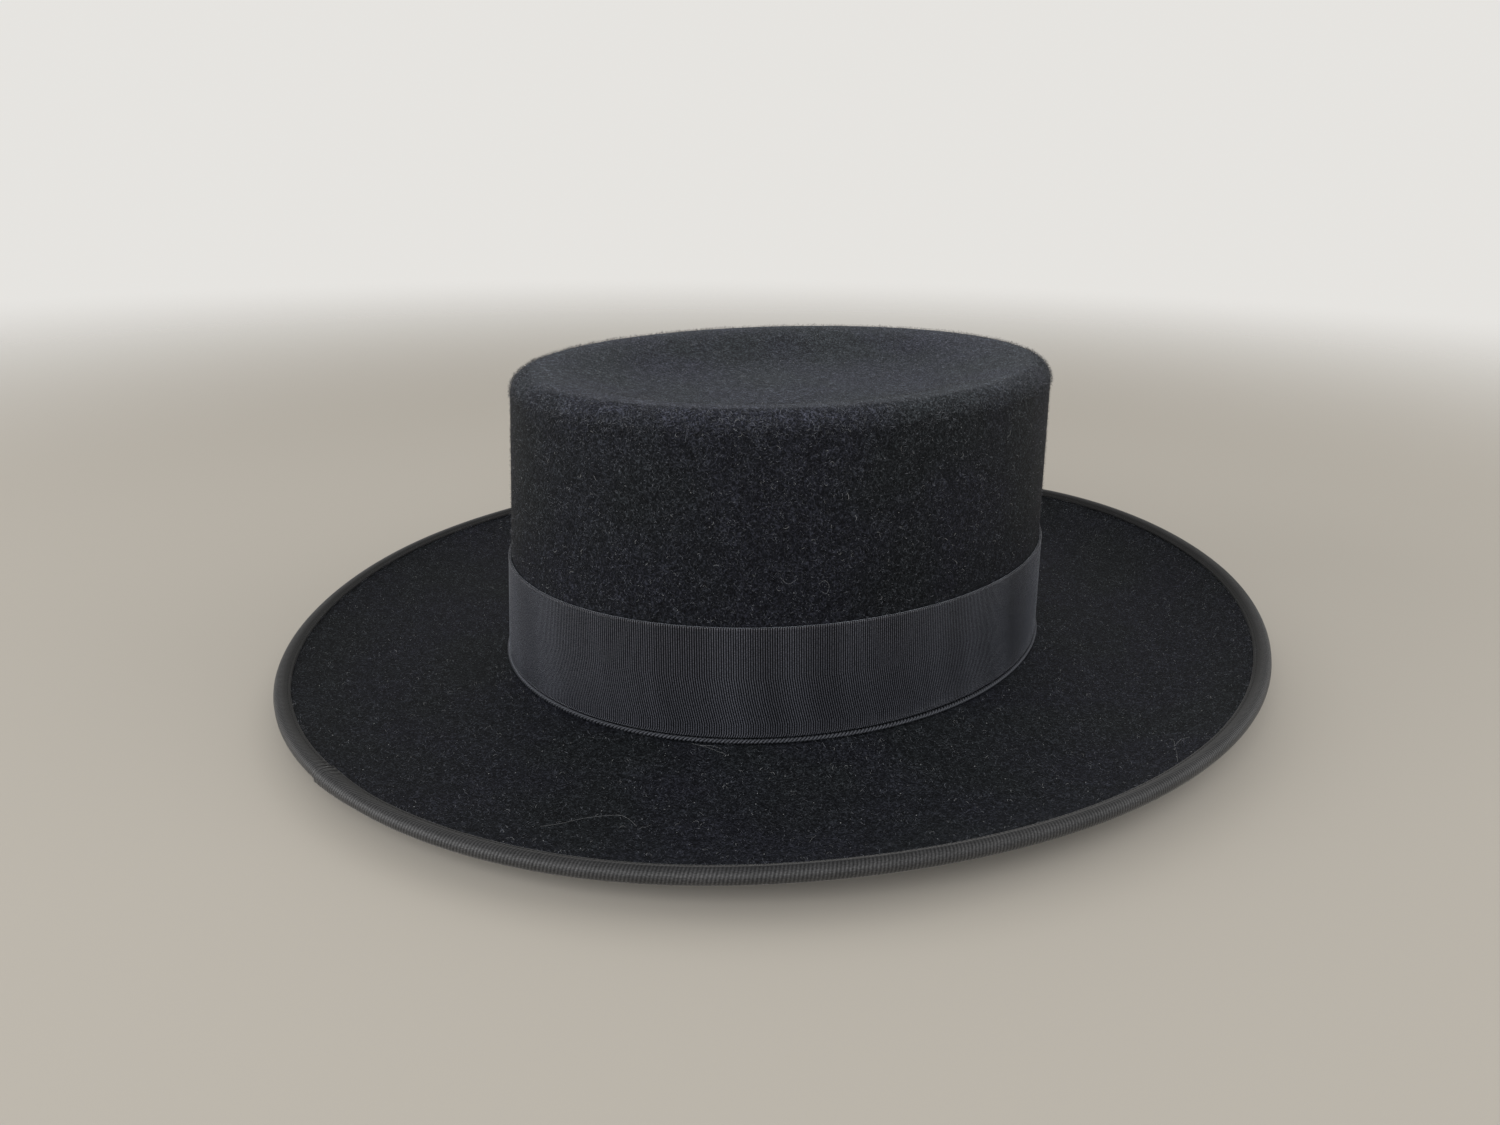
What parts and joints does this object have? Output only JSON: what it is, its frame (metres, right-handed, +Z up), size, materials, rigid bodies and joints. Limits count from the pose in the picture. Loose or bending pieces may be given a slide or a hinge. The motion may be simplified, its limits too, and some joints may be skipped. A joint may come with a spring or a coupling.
{
  "type": "bolero hat",
  "caption": "Black felt bolero hat with a dished oval crown, a grosgrain band over a twisted cord, and a wide upturned brim bound with ribbon.",
  "frame": {"origin": "on the surface that the hat stands on, under the middle of the brim's box", "axes": "+X to the wearer's front, +Y to the wearer's left, +Z up through the crown"},
  "size_m": [0.3552, 0.3214, 0.099],
  "materials": {
    "felt": "short-napped black fur felt",
    "band_ribbon": "black grosgrain ribbon with upright ribs",
    "cord": "black twisted cord with a soft gloss",
    "binding_ribbon": "black grosgrain ribbon with ribs across the edge"
  },
  "bodies": {
    "root": {"felt_body": "felt", "hat_band": "band_ribbon", "band_cord": "cord", "brim_binding": "binding_ribbon"}
  },
  "joints": []
}
